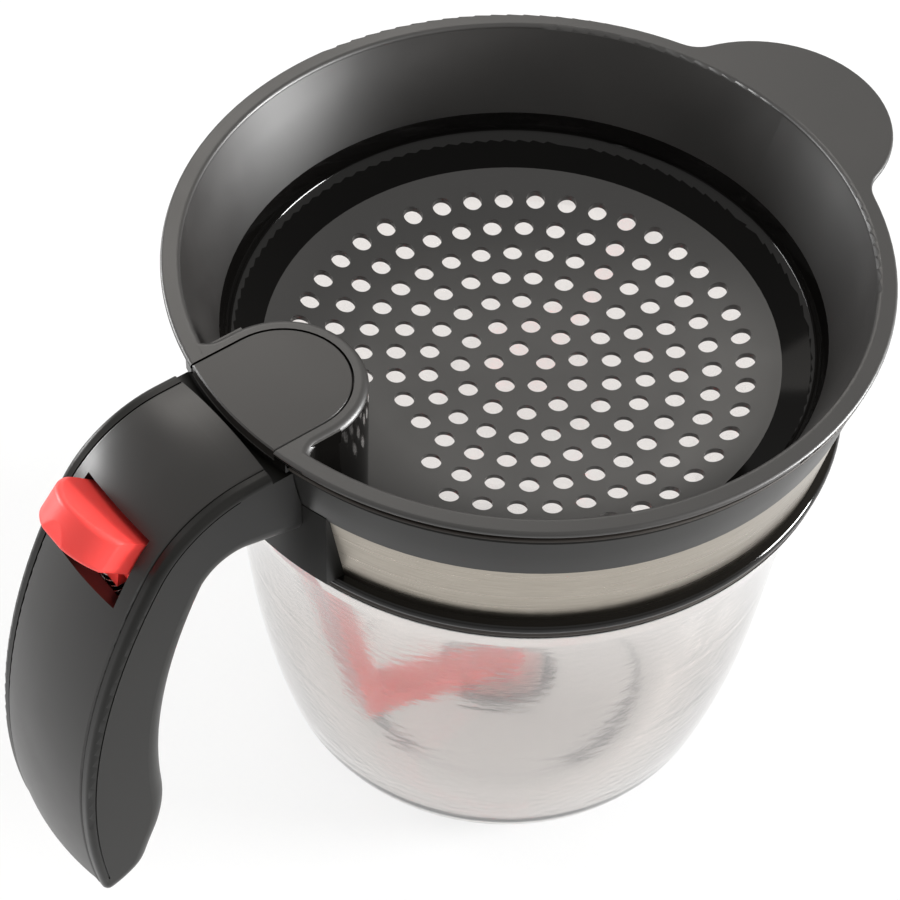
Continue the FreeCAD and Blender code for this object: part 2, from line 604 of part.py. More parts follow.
brow = boolean("Common", "brow", brow_disc,
               block("brow_box", Size(-90, "-90"), Size(-60, "-60"), hood_radius, hood_roof - 1, rim_top))
niche = body("niche")
dee(niche, "niche_plan", hr - wall, Size(90.0, "90"), 0, Size(95.0, "95"), hood_roof - 95.0, "niche_raised")
recess = body("recess")
dee(recess, "recess_plan", cover_radius + cover_gap, Size(90.0, "90"), 0, cover_floor, Size(10.0, "10"),
    "recess_raised")

# lift tab: round end and hollow corners, level with the lip and as thin as the lip's edge
far = float(rim_radius) + float(tab_blend)
near = float(tab_radius) + float(tab_blend)
bx = (far ** 2 - near ** 2 + float(tab_middle) ** 2) / (2 * float(tab_middle))
by = math.sqrt(far ** 2 - bx ** 2)
on_rim = (bx * float(rim_radius) / far, by * float(rim_radius) / far)
root = (bx * float(rim_radius - tab_root) / far, by * float(rim_radius - tab_root) / far)
on_tab = (float(tab_middle) + (bx - float(tab_middle)) * float(tab_radius) / near,
          by * float(tab_radius) / near)
mid_x = bx - (bx - on_rim[0] + bx - on_tab[0]) / 2.0
mid_y = by - (by - on_rim[1] + by - on_tab[1]) / 2.0
scale = float(tab_blend) / math.hypot(mid_x - bx, mid_y - by)
mid_x, mid_y = bx + (mid_x - bx) * scale, by + (mid_y - by) * scale
tab = body("tab")
pad(tab, outline(sketch(tab, "XY_Plane", "tab_plan", rim_top - lip_edge_thick), [
    root, on_rim, ("arc", mid_x, mid_y), on_tab, ("arc", tab_middle + tab_radius, 0), (on_tab[0], -on_tab[1]),
    ("arc", mid_x, -mid_y), (on_rim[0], -on_rim[1]), (root[0], -root[1]), ("arc", rim_radius - tab_root, 0)]),
    lip_edge_thick, "tab_raised", both=False)
doc.recompute()
names = ["Edge%d" % (i + 1) for i, e in enumerate(tab.Shape.Edges)
         if abs(e.BoundBox.ZLength) < 0.01 and e.BoundBox.XMin > on_rim[0] - 0.5 and e.BoundBox.YLength > 2.5]
dress(tab, "Fillet", "tab_edges", names, edge_round - 0.03)
doc.recompute()
one = boolean("Fuse", "strainer_one", shell, hood)
two = boolean("Fuse", "strainer_two", one, brow)
three = boolean("Cut", "strainer_three", two, niche)
four = boolean("Cut", "strainer_four", three, recess)
peg_holes = boolean("Cut", "strainer_pegs", four,
                    block("peg_slot", -(hood_middle + 4), -(hood_middle - 2), Size(1.5, "1.5"), hood_roof - 1,
                          rim_top))
strainer = boolean("Fuse", "strainer", peg_holes, tab)

# hub_cover: D-shaped cap, flush with the lip, with a tongue pressed into the roof
cr = cover_radius
hub_cover = body("hub_cover")
cover_rim = rim_radius - 0.35
edge_x = -math.sqrt(float(cover_rim) ** 2 - float(cr) ** 2)
pad(hub_cover, outline(sketch(hub_cover, "XY_Plane", "cover_plan", cover_floor), [
    (hx, -cr), ("arc", hx + cr, 0), (hx, cr), (edge_x, cr), ("arc", -cover_rim, 0), (edge_x, -cr)]),
    cover_thick, "cover_raised", both=False)
doc.recompute()
top_face = [i for i, f in enumerate(hub_cover.Shape.Faces)
            if abs(f.BoundBox.ZMin - float(rim_top)) < 0.001][0]
dress(hub_cover, "Chamfer", "cover_easing", ["Face%d" % (top_face + 1)], 0.3)
doc.recompute()
pad(hub_cover, outline(sketch(hub_cover, "XY_Plane", "tongue_plan", hood_roof), [
    (-(hood_middle + 4), -1.5), (-(hood_middle - 2), -1.5), (-(hood_middle - 2), 1.5),
    (-(hood_middle + 4), 1.5)]), cover_floor - hood_roof + 0.5, "tongue", both=False)

# strainer_seal: open ring under the lip, its ends at the hood
seal_ring = body("seal_ring")
turn(seal_ring, outline(sketch(seal_ring, "XZ_Plane", "lip_seal_profile"), [
    (seal_inner, collar_top), (seal_outer - 0.3, collar_top), (seal_outer, collar_top + 0.3),
    (seal_outer, collar_top + 1.2), (bead_radius - 0.2, collar_top + 1.3), (bead_radius, collar_top + 1.5),
    (bead_radius, collar_top + 1.7), (bead_radius - 0.2, collar_top + 1.9), (seal_outer, collar_top + 2.0),
    (seal_outer, lip_under), (seal_inner, lip_under)]), "lip_seal_turned")
strainer_seal = boolean("Cut", "strainer_seal", seal_ring,
                        block("seal_opening", Size(-90, "-90"), Size(-60, "-60"), hood_radius + 0.2,
                              collar_top - 1, rim_top))

# ---------------------------------------------------------------- handle
# The outer edge is two tangent arcs, the top turn and the long grip; every layer inside is parallel to it.
TX, TZ, JOINT = -float(turn_x), float(turn_z), 147.36
BX = TX - (float(back_radius) - float(turn_outer)) * math.cos(math.radians(JOINT))
BZ = TZ - (float(back_radius) - float(turn_outer)) * math.sin(math.radians(JOINT))
IX, IZ, JOINT_IN = -84.36, 113.27, 151.5          # centre of the inner top turn and where it ends
KX, KZ, GRIP_IN = 1.44, 66.68, 106.05             # centre and radius of the finger side
ROOT_FALL = 75.0                                  # where the inner turn runs off straight to the root


def outer_at(angle, depth=0.0):
    """Point of the outer edge at an angle, a depth below the surface."""
    if angle <= JOINT:
        x, z = around(float(turn_outer) - depth, angle)
        return (TX + x, TZ + z)
    x, z = around(float(back_radius) - depth, angle)
    return (BX + x, BZ + z)


def inner_at(angle, depth=0.0):
    """Point of the finger side at an angle, a depth inside the material."""
    if angle <= JOINT_IN:
        x, z = around(float(turn_inner) + depth, angle)
        return (IX + x, IZ + z)
    x, z = around(GRIP_IN + depth, angle)
    return (KX + x, KZ + z)


def level_angle(z, outer, depth=0.0):
    """Angle at which a layer of the long grip reaches height z."""
    centre, r = (BZ, float(back_radius) - depth) if outer else (KZ, GRIP_IN + depth)
    return 180.0 - math.degrees(math.asin((z - centre) / r))


def arcs(fn, angles, depth=0.0):
    """Corner points of a layer at the given angles with the mid points of the arcs between them."""
    out = [fn(angles[0], depth)]
    for a, c in zip(angles[:-1], angles[1:]):
        mx, mz = fn((a + c) / 2.0, depth)
        out += [("arc", mx, mz), fn(c, depth)]
    return out


panel_start = -(rim_radius + 0.9)
handle_raw = body("handle_raw")
side = [(-66, 138.4), (panel_start, 138.4), (panel_start, outer_at(90.0)[1])]
side += arcs(outer_at, [90.0, JOINT, level_angle(33.3, True)])
end, _ = smooth(273.0, [inner_at(183.0), (-107.4, 46.2), (-110.0, 40.2), (-113.6, 35.9), side[-1]])
side += end[-2::-1]
root_heel = inner_at(ROOT_FALL)
side += [("arc",) + inner_at((183.0 + JOINT_IN) / 2.0), inner_at(JOINT_IN), ("arc",) + inner_at(112.0),
         root_heel, (-66, root_heel[1] + (root_heel[0] + 66) * math.tan(math.radians(90 - ROOT_FALL)))]
pad(handle_raw, outline(sketch(handle_raw, "XZ_Plane", "handle_side"), side), grip_half * 2, "handle_wide")
doc.recompute()


def long_edges(shape, fn_test):
    """Names of the edges on the two side faces that pass the test."""
    found = []
    for i, e in enumerate(shape.Edges):
        bb = e.BoundBox
        if bb.YLength < 0.01 and abs(abs(bb.YMin) - float(grip_half)) < 0.01 and fn_test(e):
            found.append("Edge%d" % (i + 1))
    return found


def on_finger_side(e):
    c = e.CenterOfMass
    return ((c.z < 60.0 and c.x > -118.5) or (c.z < 124.0 and math.hypot(c.x - IX, c.z - IZ) < 12.0) or
            (60.0 <= c.z < 112.0 and c.x > -110.0) or (c.z < 122.0 and c.x > -84.0 and e.Length > 10.0 and
                                                       e.BoundBox.ZLength < 8.0))


def on_outer_side(e):
    return e.Length > 25.0 and not on_finger_side(e) and e.CenterOfMass.x < -85.0


inner_names = long_edges(handle_raw.Shape, on_finger_side)
outer_names = long_edges(handle_raw.Shape, on_outer_side)
print("handle edges", inner_names, outer_names)
dress(handle_raw, "Fillet", "finger_side_round", inner_names, 4.5)
doc.recompute()
outer_names = long_edges(handle_raw.Shape, on_outer_side)
dress(handle_raw, "Fillet", "seam_side_round", outer_names, 1.5)
doc.recompute()
full = handle_raw.Shape.Volume

# seat of the cover panel, open at the tip
seat_depth = float(panel_thick + panel_play)
seat = arcs(outer_at, [90.0, JOINT, 195.0], seat_depth)[::-1]
seat += [(panel_start, outer_at(90.0, seat_depth)[1]), (panel_start, 150.0), (-140.0, 150.0), (-140.0, 20.0)]
pad(handle_raw, outline(sketch(handle_raw, "XZ_Plane", "panel_seat"), seat), (panel_half + seam) * 2,
    "panel_seat_cut", cut=True)
# bay for the lever: narrow by the pivot, wide behind the button
cheek_half = hub_half + 1.6
bay = [(-60.0, 125.6), (-76.0, 123.8), inner_at(92.0, float(grip_wall)), ("arc",) + inner_at(114.0, float(grip_wall)),
       inner_at(136.0, float(grip_wall))]
bay += arcs(outer_at, [128.0, 94.0], 2.0) + [(-77.0, 137.0), (-60.0, 137.0)]
pad(handle_raw, outline(sketch(handle_raw, "XZ_Plane", "lever_bay"), bay), cheek_half * 2, "lever_bay_cut", cut=True)
foot = float(spring_foot)
wide = arcs(inner_at, [136.0, JOINT_IN, level_angle(foot, False, float(grip_wall))], float(grip_wall))
wide += arcs(outer_at, [level_angle(foot, True, 2.0), JOINT, 124.0], 2.0)
pad(handle_raw, outline(sketch(handle_raw, "XZ_Plane", "button_bay"), wide), button_half * 2 + 1.6,
    "button_bay_cut", cut=True)
# two hollows down the grip with a rib between them
for name, top, low in (("grip_hollow_upper", foot - 3.0, 79.0), ("grip_hollow_lower", 76.5, 56.0)):
    room = arcs(inner_at, [level_angle(top, False, float(grip_wall)), level_angle(low, False, float(grip_wall))],
                float(grip_wall))
    room += arcs(outer_at, [level_angle(low, True, 2.0), level_angle(top, True, 2.0)], 2.0)
    pad(handle_raw, outline(sketch(handle_raw, "XZ_Plane", name), room), button_half * 2 + 1.6, name + "_cut",
        cut=True)
doc.recompute()
print("handle volume", round(full), "->", round(handle_raw.Shape.Volume))
# peg for the spring on the rib that closes the bay
spring_peg = doc.addObject("Part::Cylinder", "spring_peg")
spring_peg.Radius, spring_peg.Height = 1.8, 3.0
spring_peg.Placement = FreeCAD.Placement(V(-float(spring_x), 0, float(spring_foot) - 1.0), FreeCAD.Rotation())
handle_two = boolean("Fuse", "handle_two", handle_raw, spring_peg)
# the root ends against the collar
collar_form = body("collar_form")
turn(collar_form, outline(sketch(collar_form, "XZ_Plane", "collar_form_profile"), [
    (0, 100), (saddle_radius + 0.1, 100), (saddle_radius + 0.1, 128.2), ("arc", 72.75, 133.5),
    (collar_rim + 0.1, 139.5), (0, 139.5)]), "collar_form_turned")
handle_three = boolean("Cut", "handle_three", handle_two, collar_form)
# parting line of the two shells: a fine groove round both sides, just below the outer rounding
GROOVE_TOP, GROOVE_LOW, GROOVE_DEEP = 1.5, 1.8, 0.25
parting_band = body("parting_band")
ends = [96.0, JOINT, level_angle(40.0, True)]
pad(parting_band, outline(sketch(parting_band, "XZ_Plane", "parting_profile"),
                          arcs(outer_at, ends, GROOVE_TOP) + arcs(outer_at, ends[::-1], GROOVE_LOW)),
    grip_half * 2 + 2, "parting_wide")
parting = boolean("Cut", "parting", parting_band,
                  block("parting_core", Size(-140, "-140"), Size(-60, "-60"), grip_half - GROOVE_DEEP,
                        Size(20, "20"), Size(150, "150")))
handle_parted = boolean("Cut", "handle_parted", handle_three, parting)
tip_form = body("tip_form")
nose = outer_at(level_angle(37.6, True))
tip = [(-119.7, 34.4), (-119.7, 20), (-140, 20), (-140, nose[1]), nose, ("arc", -121.5, 35.2)]
pad(tip_form, outline(sketch(tip_form, "XZ_Plane", "tip_profile"), tip), Size(60.0, "60"), "tip_wide")
handle_four = boolean("Cut", "handle_four", handle_parted, tip_form)
handle_five = boolean("Cut", "handle_five", handle_four,
                      rod_along_y("pivot_bore", -pivot_x, pivot_z, pin_radius, hub_half + 6.2))
handle_body = boolean("Cut", "handle_body", handle_five,
                      bores("handle_pilot_holes", -70.0, 13.0, screw_y, screw_z, Size(1.5, "1.5")))

# handle_spine: crowned panel swept along the outer edge, with the lever's slot
panel = body("panel")
path = panel.newObject("Sketcher::SketchObject", "panel_path")
path.AttachmentSupport = [(origin_plane(panel, "XZ_Plane"), "")]
path.MapMode = "FlatFace"
p0, p1 = V(float(panel_start), outer_at(90.0)[1], 0), V(outer_at(90.0)[0], outer_at(90.0)[1], 0)
path.addGeometry(Part.LineSegment(p0, p1))
path.addGeometry(Part.Arc(p1, V(*outer_at((90.0 + JOINT) / 2), 0), V(*outer_at(JOINT), 0)))
last = level_angle(34.5, True)
path.addGeometry(Part.Arc(V(*outer_at(JOINT), 0), V(*outer_at((last + JOINT) / 2), 0), V(*outer_at(last), 0)))
section = panel.newObject("Sketcher::SketchObject", "panel_section")
section.AttachmentSupport = [(origin_plane(panel, "YZ_Plane"), "")]
section.MapMode = "FlatFace"
section.AttachmentOffset = FreeCAD.Placement(V(0, 0, float(panel_start)), FreeCAD.Rotation())
section.setExpression("AttachmentOffset.Base.z", panel_start.text)
level = turn_z + turn_outer
outline(section, [(-panel_half, level - panel_thick), (panel_half, level - panel_thick), (panel_half, level - 0.2),
                  ("arc", panel_half - 0.15, level + 0.05), (panel_half - 0.5, level + 0.22),
                  ("arc", 0, level + panel_crown), (-(panel_half - 0.5), level + 0.22),
                  ("arc", -panel_half + 0.15, level + 0.05), (-panel_half, level - 0.2)])
sweep = panel.newObject("PartDesign::AdditivePipe", "panel_sweep")
sweep.Profile = section
sweep.Spine = path
panel.Tip = sweep
doc.recompute()
slot_top, slot_low = 134.0, 151.84
slot = arcs(outer_at, [slot_top, JOINT, slot_low], 6.0) + arcs(outer_at, [slot_low, JOINT, slot_top], -6.0)
pad(panel, outline(sketch(panel, "XZ_Plane", "lever_slot"), slot), (button_half + slot_play) * 2, "lever_slot_cut",
    cut=True)
handle_spine = boolean("Cut", "handle_spine", panel, tip_form)

# ---------------------------------------------------------------- lever
arm = body("arm")
eye_far = 1.8
pad(arm, outline(sketch(arm, "XZ_Plane", "arm_side"), [
    (-pivot_x + 2, pivot_z + 4.8), (-pivot_x + 9, rod_eye + 2.7), (-rod_x + eye_far, rod_eye + 2.9),
    ("arc", -rod_x + eye_far + 2.9, rod_eye + 0.2), (-rod_x + eye_far, rod_eye - 2.6),
    (-pivot_x + 12, rod_eye - 3.2), (-pivot_x + 2, pivot_z - 4.8)]), arm_half * 2, "arm_wide")
pad(arm, outline(sketch(arm, "XZ_Plane", "neck_side"), [
    (-pivot_x, pivot_z - 5.2), (-pivot_x, pivot_z + 5.2), (-93.0, 132.9), (-99.0, 129.0), (-104.2, 125.0),
    (-105.3, spring_head), (-100.1, spring_head), (-97.0, 122.5), (-92.0, 124.6)]), hub_half * 2, "neck_wide")
pad(arm, circle(sketch(arm, "XZ_Plane", "hub_round"), -pivot_x, pivot_z, hub_radius), hub_half * 2, "hub_wide")
pad(arm, circle(sketch(arm, "XZ_Plane", "hub_bore"), -pivot_x, pivot_z, pin_radius + pin_play), hub_half * 2 + 2,
    "hub_bore_cut", cut=True)
pad(arm, outline(sketch(arm, "XZ_Plane", "eye_slot"), [
    (-rod_x - 0.1, rod_eye + 1.57), (-rod_x + 0.6, rod_eye + 1.57), ("arc", -rod_x + 2.17, rod_eye),
    (-rod_x + 0.6, rod_eye - 1.57), (-rod_x - 0.1, rod_eye - 1.57), ("arc", -rod_x - 1.67, rod_eye)]),
    arm_half * 2 + 2, "eye_slot_cut", cut=True)
pad(arm, circle(sketch(arm, "XY_Plane", "spring_peg_round", spring_head - 2.0), -spring_x, 0, Size(1.8, "1.8")),
    Size(3.0, "3.0"), "spring_peg_raised", both=False)
button_block = body("button_block")
pad(button_block, outline(sketch(button_block, "XZ_Plane", "button_side"), [
    (-98.4, 129.4), (-111.0, 140.9), (-115.4, 134.0), (-104.3, 124.5), (-103.8, 119.6), (-99.4, 119.6)]),
    button_half * 2, "button_wide")
# its face is strongly crowned from side to side
lean = FreeCAD.Rotation(V(0, 0, 1), V(0.66, 0, 0.75))
inward = V(0.75, 0, -0.66).normalize()
middle = V(-113.2, 0, 137.45) + inward * 11.5 - V(0.66, 0, 0.75).normalize() * 30.0
crown_round = doc.addObject("Part::Cylinder", "button_crown")
crown_round.Radius, crown_round.Height = 11.5, 60.0
crown_round.Placement = FreeCAD.Placement(middle, lean)
crown_back = doc.addObject("Part::Box", "button_back")
crown_back.Length, crown_back.Width, crown_back.Height = 30.0, 23.0, 60.0
crown_back.Placement = FreeCAD.Placement(middle + V(0, -11.5, 0), lean)
crown = boolean("Fuse", "button_form", crown_round, crown_back)
button_round = boolean("Common", "button_round", button_block, crown)
doc.recompute()
button_soft = doc.addObject("Part::Fillet", "button_soft")
button_soft.Base = button_round
button_soft.Edges = [(i + 1, 1.2, 1.2) for i, e in enumerate(button_round.Shape.Edges)
                     if e.CenterOfMass.x < -103.5]
doc.recompute()
lever = boolean("Fuse", "lever", arm, button_soft)

lever_pin = body("lever_pin")
pad(lever_pin, circle(sketch(lever_pin, "XZ_Plane", "pin_round"), -pivot_x, pivot_z, pin_radius),
    (hub_half + 6.1) * 2, "pin_length")

washer_a, washer_b = body("washer_a"), body("washer_b")
for w, lift in ((washer_a, hub_half + 0.1), (washer_b, -(hub_half + 1.5))):
    sk = sketch(w, "XZ_Plane", w.Label + "_plan", lift)
    circle(sk, -pivot_x, pivot_z, pin_radius + pin_play)
    circle(sk, -pivot_x, pivot_z, hub_radius - 0.8)
    pad(w, sk, Size(1.4, "1.4"), w.Label + "_raised", both=False)
lever_washers = doc.addObject("Part::Compound", "lever_washers")
lever_washers.Links = [washer_a, washer_b]
lever_washers.Label = "lever_washers"

# lever_spring: compression spring between the handle and the lever, with closed ends
turns = 5.0
free = float(spring_head) - float(spring_foot) - float(wire)
coil = Part.makeHelix(free / turns, free, float(spring_mean))
coil.translate(V(-float(spring_x), 0, float(spring_foot) + float(wire) / 2))
start = coil.Edges[0].valueAt(coil.Edges[0].FirstParameter)
aim = coil.Edges[0].tangentAt(coil.Edges[0].FirstParameter)
loop = Part.Wire(Part.makeCircle(float(wire) / 2, start, aim))
lever_spring = doc.addObject("Part::Feature", "lever_spring")
lever_spring.Shape = Part.Wire(coil).makePipeShell([loop], True, True)
lever_spring.Label = "lever_spring"

# ---------------------------------------------------------------- rod guide and screws
guide_raw = body("guide_raw")
pad(guide_raw, outline(sketch(guide_raw, "XY_Plane", "guide_plan", Size(116.4, "116.4")), [
    (-68, -13), (-68, 13), (-61.6, 13), (-61.6, 7.4), (-52.4, 7.4), (-52.4, -7.4), (-61.6, -7.4), (-61.6, -13)]),
    Size(6.4, "6.4"), "guide_raised", both=False)
pad(guide_raw, outline(sketch(guide_raw, "XY_Plane", "guide_hole", Size(110.0, "110")), [
    (rod_out - 0.1, -rod_half - 0.1), (rod_out - 0.1, rod_half + 0.1), (rod_in + 0.1, rod_half + 0.1),
    (rod_in + 0.1, -rod_half - 0.1)]), Size(20.0, "20"), "guide_hole_cut", both=False, back=True, cut=True)
pad(guide_raw, outline(sketch(guide_raw, "XY_Plane", "guide_relief", Size(119.4, "119.4")), [
    (-61.9, -14), (-61.9, 14), (-50, 14), (-50, -14)]), Size(20.0, "20"), "guide_relief_cut", both=False, back=True,
    cut=True)
bore_form = body("bore_form")
turn(bore_form, outline(sketch(bore_form, "XZ_Plane", "bore_form_profile"), [
    (0, 100), (bore, 100), (bore, neck_top + 0.6), (cone_foot + 2.6, cone_level - 0.6), (0, cone_level - 0.6)]),
    "bore_form_turned")
guide_cut = boolean("Common", "guide_cut", guide_raw, bore_form)
rod_guide = boolean("Cut", "rod_guide", guide_cut,
                    bores("guide_clear_holes", -58.0, 14.0, guide_y, guide_z, Size(1.1, "1.1")))


def screws(label, head_x, head_len, head_r, shank_r, length, y, z):
    """A pair of pan-head screws pointing along -X."""
    parts = []
    for side in (1, -1):
        b = body(label + ("_a" if side > 0 else "_b"))
        sk = b.newObject("Sketcher::SketchObject", b.Label + "_profile")
        sk.AttachmentSupport = [(origin_plane(b, "XZ_Plane"), "")]
        sk.MapMode = "FlatFace"
        outline(sk, [(0, 0), (head_r * 0.75, 0), (head_r, 0.6), (head_r, head_len), (shank_r, head_len),
                     (shank_r, length - 1.2), (0, length)])
        turn(b, sk, b.Label + "_turned")
        cross = sketch(b, "XY_Plane", b.Label + "_recess")
        outline(cross, [(-0.4, -head_r * 0.6), (0.4, -head_r * 0.6), (0.4, -0.4), (head_r * 0.6, -0.4),
                        (head_r * 0.6, 0.4), (0.4, 0.4), (0.4, head_r * 0.6), (-0.4, head_r * 0.6), (-0.4, 0.4),
                        (-head_r * 0.6, 0.4), (-head_r * 0.6, -0.4), (-0.4, -0.4)])
        pad(b, cross, Size(0.9, "0.9"), b.Label + "_cross", both=False, back=True, cut=True)
        b.Placement = FreeCAD.Placement(V(head_x, side * y, z), FreeCAD.Rotation(V(0, 1, 0), -90))
        parts.append(b)
    group = doc.addObject("Part::Compound", label)
    group.Links = parts
    group.Label = label
    return group


handle_screws = screws("handle_screws", -67.8, 1.8, float(screw_head), float(screw_radius), 15.0, screw_y, screw_z)
guide_screws = screws("guide_screws", -60.15, 1.4, 2.1, 1.1, 8.6, guide_y, guide_z)

# ---------------------------------------------------------------- check and write
doc.recompute()
for o in doc.Objects:
    if "Invalid" in o.State or "Error" in o.State:
        raise RuntimeError("%s is %s" % (o.Label, o.State))
nodes = [strainer, hub_cover, strainer_seal, collar, collar_band, collar_base_ring, collar_seal, jar, drain_seat,
         valve_plug, plug_washer, valve_rod, rod_pin, rod_guide, guide_screws, lever, lever_pin, lever_washers,
         lever_spring, handle_body, handle_spine, handle_screws]
os.makedirs("parts", exist_ok=True)
for o in nodes:
    s = o.Shape
    if s.isNull() or not s.isValid():
        raise RuntimeError("%s has a bad shape" % o.Label)
    bb = s.BoundBox
    print("%-18s solids %d  volume %9.1f  x %7.1f %7.1f  y %6.1f %6.1f  z %6.1f %6.1f" % (
        o.Label, len(s.Solids), s.Volume, bb.XMin, bb.XMax, bb.YMin, bb.YMax, bb.ZMin, bb.ZMax))
    s.exportStep("parts/%s.step" % o.Label)
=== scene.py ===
# %% [markdown]
# # Gravy fat separator: finishing the looks
# The real object is a clear moulded jar with a black collar bonded round its neck, a brushed steel band,
# a lift-out strainer, a C-shaped handle and a red thumb lever that opens a valve in the jar's floor.
# The construction is already there as solids. This script gives every surface the finish it has on the real
# object, then adds a camera, a white table and soft studio light.

# %% Load the solids
import json
import math

import bpy
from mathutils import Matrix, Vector

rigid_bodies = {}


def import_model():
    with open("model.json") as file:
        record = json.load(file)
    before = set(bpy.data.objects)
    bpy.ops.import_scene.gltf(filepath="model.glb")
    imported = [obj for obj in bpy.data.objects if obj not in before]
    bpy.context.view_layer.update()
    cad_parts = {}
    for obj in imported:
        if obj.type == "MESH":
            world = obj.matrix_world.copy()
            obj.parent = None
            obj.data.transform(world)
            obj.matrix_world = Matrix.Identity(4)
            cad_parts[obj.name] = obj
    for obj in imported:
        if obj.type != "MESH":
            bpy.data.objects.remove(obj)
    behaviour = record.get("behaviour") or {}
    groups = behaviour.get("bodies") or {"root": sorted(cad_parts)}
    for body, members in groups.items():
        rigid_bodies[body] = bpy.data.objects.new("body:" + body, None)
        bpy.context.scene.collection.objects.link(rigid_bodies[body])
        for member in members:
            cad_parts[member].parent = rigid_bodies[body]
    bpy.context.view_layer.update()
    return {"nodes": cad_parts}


for stray in list(bpy.data.objects):
    bpy.data.objects.remove(stray)
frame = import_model()
nodes = frame["nodes"]

# %% [markdown]
# ## Camera
# A product of this size is usually shot from about 60 cm with a long lens, which keeps the rim's circle
# calm. The camera looks down at about fifty degrees with the handle in front on the left. Three turns are
# written as plain angles: the tilt from straight down, a slight roll, and the heading round the jar.

# %% Place the camera
CAMERA_PLACE = Vector((-0.2419, -0.2661, 0.4939))
TILT, ROLL, HEADING = 40.9, -1.8, -37.92
LENS, SENSOR = 97.9, 36.0

camera = bpy.data.objects.new("camera", bpy.data.cameras.new("camera"))
camera.location = CAMERA_PLACE
camera.rotation_euler = [math.radians(a) for a in (TILT, ROLL, HEADING)]
camera.data.lens = LENS
camera.data.sensor_width = SENSOR
bpy.context.scene.collection.objects.link(camera)
bpy.context.scene.camera = camera
bpy.context.scene.view_settings.view_transform = "Standard"
print("camera height over the table in cm:", round(CAMERA_PLACE.z * 100, 1))

# %% [markdown]
# ## Node groups
# Moulded plastic, rubber and plain steel share two effects. Each is one node group that is built once and
# placed in several materials with other values: a fine moulded grain, and the faint marks that handling
# leaves. A group gives out only masks and heights, so that the shader itself stays in the material.

# %% Helpers for node trees
def link(tree, source, target):
    tree.links.new(source, target)


def add_node(tree, kind, **values):
    node = tree.nodes.new(kind)
    for name, value in values.items():
        setattr(node, name, value)
    return node


def math_node(tree, operation, *inputs, clamp=False):
    """A Math node whose inputs are sockets or numbers; returns its output."""
    node = add_node(tree, "ShaderNodeMath", operation=operation, use_clamp=clamp)
    for socket, value in zip(node.inputs, inputs):
        if isinstance(value, (int, float)):
            socket.default_value = value
        else:
            link(tree, value, socket)
    return node.outputs[0]


def ramp_between(tree, value, low, high, to_low=0.0, to_high=1.0):
    """Maps low..high to to_low..to_high with soft ends; returns a socket."""
    node = add_node(tree, "ShaderNodeMapRange", interpolation_type="SMOOTHSTEP")
    link(tree, value, node.inputs["Value"])
    for name, number in (("From Min", low), ("From Max", high), ("To Min", to_low), ("To Max", to_high)):
        node.inputs[name].default_value = number
    return node.outputs["Result"]


def noise(tree, vector, scale, detail=2.0, roughness=0.5):
    node = add_node(tree, "ShaderNodeTexNoise")
    link(tree, vector, node.inputs["Vector"])
    node.inputs["Detail"].default_value = detail
    node.inputs["Roughness"].default_value = roughness
    if isinstance(scale, (int, float)):
        node.inputs["Scale"].default_value = scale
    else:
        link(tree, scale, node.inputs["Scale"])
    return node.outputs["Fac"]


def start_group(name, inputs, outputs):
    """A node group with named float inputs and outputs."""
    group = bpy.data.node_groups.new(name, "ShaderNodeTree")
    for label, default in inputs:
        socket = group.interface.new_socket(label, in_out="INPUT", socket_type="NodeSocketFloat")
        socket.default_value = default
    for label in outputs:
        group.interface.new_socket(label, in_out="OUTPUT", socket_type="NodeSocketFloat")
    entry = group.nodes.new("NodeGroupInput")
    leave = group.nodes.new("NodeGroupOutput")
    return group, entry, leave


# %% Group: moulded grain
def build_moulded_grain():
    """Spark-eroded texture of a mould: fine pits, and a slow drift in how matt the skin is."""
    group, entry, leave = start_group("moulded_grain", [("Grains per mm", 3.0), ("Drift", 0.5)],
                                      ["Height", "Mattness"])
    place = add_node(group, "ShaderNodeTexCoord").outputs["Object"]
    per_metre = math_node(group, "MULTIPLY", entry.outputs["Grains per mm"], 1000.0)
    fine = noise(group, place, per_metre, detail=3.0, roughness=0.6)
    coarse = noise(group, place, math_node(group, "MULTIPLY", per_metre, 0.31), detail=1.0)
    link(group, math_node(group, "ADD", math_node(group, "MULTIPLY", fine, 0.7),
                          math_node(group, "MULTIPLY", coarse, 0.3)), leave.inputs["Height"])
    slow = ramp_between(group, noise(group, place, 45.0, detail=3.0), 0.3, 0.7)
    mixed = math_node(group, "MULTIPLY", math_node(group, "SUBTRACT", slow, 0.5), entry.outputs["Drift"])
    link(group, math_node(group, "ADD", mixed, 0.5, clamp=True), leave.inputs["Mattness"])
    return group


MOULDED_GRAIN = build_moulded_grain()
print("group ready:", MOULDED_GRAIN.name)


# %% Group: handling marks
def build_handling_marks():
    """Faint wiped smears and a few hairlines, which show only as small changes of roughness."""
    group, entry, leave = start_group("handling_marks", [("Smear size", 18.0), ("Hairlines", 0.3)],
                                      ["Marks"])
    place = add_node(group, "ShaderNodeTexCoord").outputs["Object"]
    scale = math_node(group, "DIVIDE", 1000.0, entry.outputs["Smear size"])
    smear = ramp_between(group, noise(group, place, scale, detail=4.0, roughness=0.65), 0.45, 0.75)
    stretch = add_node(group, "ShaderNodeMapping")
    stretch.inputs["Scale"].default_value = (1.0, 14.0, 1.0)
    stretch.inputs["Rotation"].default_value = (0.0, 0.0, math.radians(33))
    link(group, place, stretch.inputs["Vector"])
    hair = ramp_between(group, noise(group, stretch.outputs["Vector"], 160.0, detail=2.0), 0.66, 0.74)
    hair = math_node(group, "MULTIPLY", hair, entry.outputs["Hairlines"])
    link(group, math_node(group, "MAXIMUM", smear, hair, clamp=True), leave.inputs["Marks"])
    return group


HANDLING_MARKS = build_handling_marks()
print("group ready:", HANDLING_MARKS.name)


